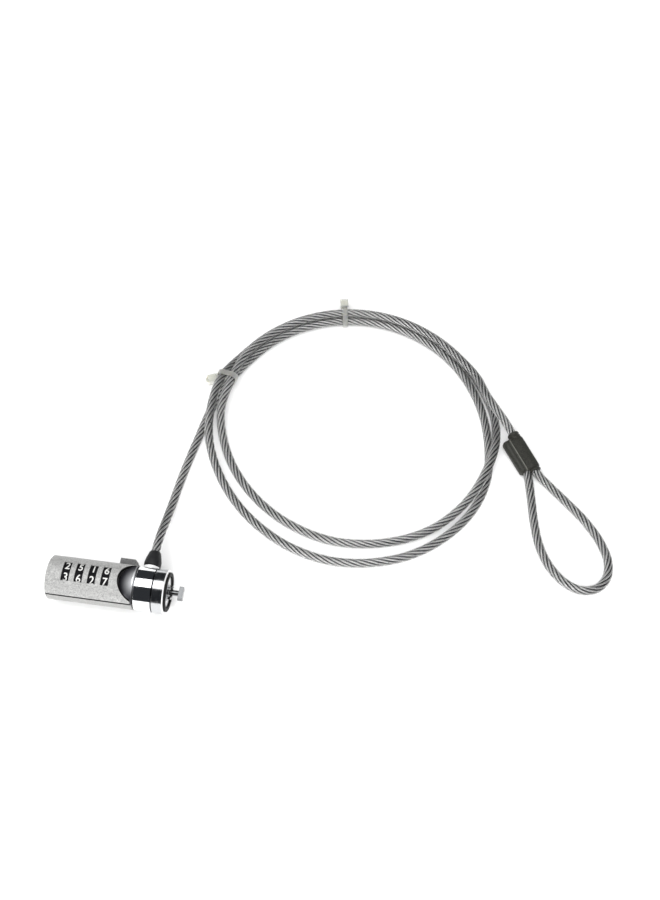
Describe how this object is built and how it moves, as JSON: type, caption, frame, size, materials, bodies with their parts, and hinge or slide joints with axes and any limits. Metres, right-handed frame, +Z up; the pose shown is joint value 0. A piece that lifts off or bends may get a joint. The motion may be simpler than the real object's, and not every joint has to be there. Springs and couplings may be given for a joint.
{
  "type": "laptop cable lock",
  "caption": "Combination cable lock for a laptop: a dial head with a sprung release button and turning T-bar nose, on a swivel collar with a coiled vinyl-covered steel cable and a looped end",
  "frame": {"origin": "centre of the rubber seat face on the lock's axis, which bears on the computer", "axes": "+X out of the nose along the lock's axis; +Y to the side of the cable stub and release button; +Z up through the dial windows, with the head and cable lying on z = -10 mm"},
  "size_m": [0.2532, 0.1895, 0.02],
  "materials": {
    "chrome": "polished chrome plate",
    "satin": "satin silver finish on die-cast zinc",
    "steel": "plain machined steel",
    "spring_steel": "spring steel",
    "brass": "plain machined brass",
    "dial_black": "black dial with raised white digits",
    "rubber_black": "soft black rubber",
    "black_plastic": "black moulded plastic",
    "white_plastic": "low-friction plastic",
    "cable_vinyl": "wire rope under clear vinyl",
    "nylon": "translucent natural nylon"
  },
  "bodies": {
    "cable_set": {"swivel_collar": "chrome", "cable_crimp": "steel", "cable_boot": "black_plastic", "cable": "cable_vinyl", "loop_ferrule": "black_plastic", "cable_tie_top": "nylon", "cable_tie_side": "nylon"},
    "lock_body": {"base_housing": "chrome", "top_cover": "satin", "rear_plate": "steel", "rear_screws": "steel", "core_tube": "brass", "dial_spacers": "steel", "detent_spring": "spring_steel", "nose_block": "steel", "guide_pins": "chrome", "front_cap": "chrome", "front_pad": "rubber_black", "cap_pin": "steel", "swivel_washer": "white_plastic", "button_spring": "spring_steel", "spindle_spring": "spring_steel"},
    "dial_1_set": {"dial_1": "dial_black", "code_ring_1": "brass"},
    "dial_2_set": {"dial_2": "dial_black", "code_ring_2": "brass"},
    "dial_3_set": {"dial_3": "dial_black", "code_ring_3": "brass"},
    "dial_4_set": {"dial_4": "dial_black", "code_ring_4": "brass"},
    "button": {"release_button": "satin"},
    "t_bar_set": {"t_bar": "chrome", "t_bar_clip": "spring_steel"},
    "spindle_set": {"spindle": "steel"},
    "change_screw_set": {"change_screw": "brass"}
  },
  "joints": [
    {"name": "swivel", "type": "hinge", "parent": "cable_set", "child": "lock_body", "pos_m": [0, 0, 0], "axis": [1, 0, 0], "continuous": true},
    {"name": "dial_1_turn", "type": "hinge", "parent": "lock_body", "child": "dial_1_set", "pos_m": [-0.0458, 0, 0.00045], "axis": [1, 0, 0], "continuous": true, "deforming": ["detent_spring"]},
    {"name": "dial_2_turn", "type": "hinge", "parent": "lock_body", "child": "dial_2_set", "pos_m": [-0.0398, 0, 0.00045], "axis": [1, 0, 0], "continuous": true, "deforming": ["detent_spring"]},
    {"name": "dial_3_turn", "type": "hinge", "parent": "lock_body", "child": "dial_3_set", "pos_m": [-0.0338, 0, 0.00045], "axis": [1, 0, 0], "continuous": true, "deforming": ["detent_spring"]},
    {"name": "dial_4_turn", "type": "hinge", "parent": "lock_body", "child": "dial_4_set", "pos_m": [-0.0278, 0, 0.00045], "axis": [1, 0, 0], "continuous": true, "deforming": ["detent_spring"]},
    {"name": "button_press", "type": "slide", "parent": "lock_body", "child": "button", "axis": [0, -1, 0], "range_m": [0, 0.00251], "stiffness_N_per_m": 250, "springref_m": -0.002, "deforming": ["button_spring", "spindle_spring"]},
    {"name": "t_bar_turn", "type": "hinge", "parent": "lock_body", "child": "t_bar_set", "pos_m": [0, 0, 0], "axis": [1, 0, 0], "range_deg": [0, 90]},
    {"name": "spindle_slide", "type": "slide", "parent": "lock_body", "child": "spindle_set", "axis": [-1, 0, 0], "range_m": [0, 0.00252], "deforming": ["spindle_spring"]},
    {"name": "change_screw_turn", "type": "hinge", "parent": "lock_body", "child": "change_screw_set", "pos_m": [-0.0523, 0, 0.00045], "axis": [1, 0, 0], "range_deg": [0, 90]}
  ],
  "couplings": [
    {"joint": "t_bar_turn", "follows": "button_press", "rad_per_m": 625},
    {"joint": "spindle_slide", "follows": "button_press", "ratio": 1}
  ]
}
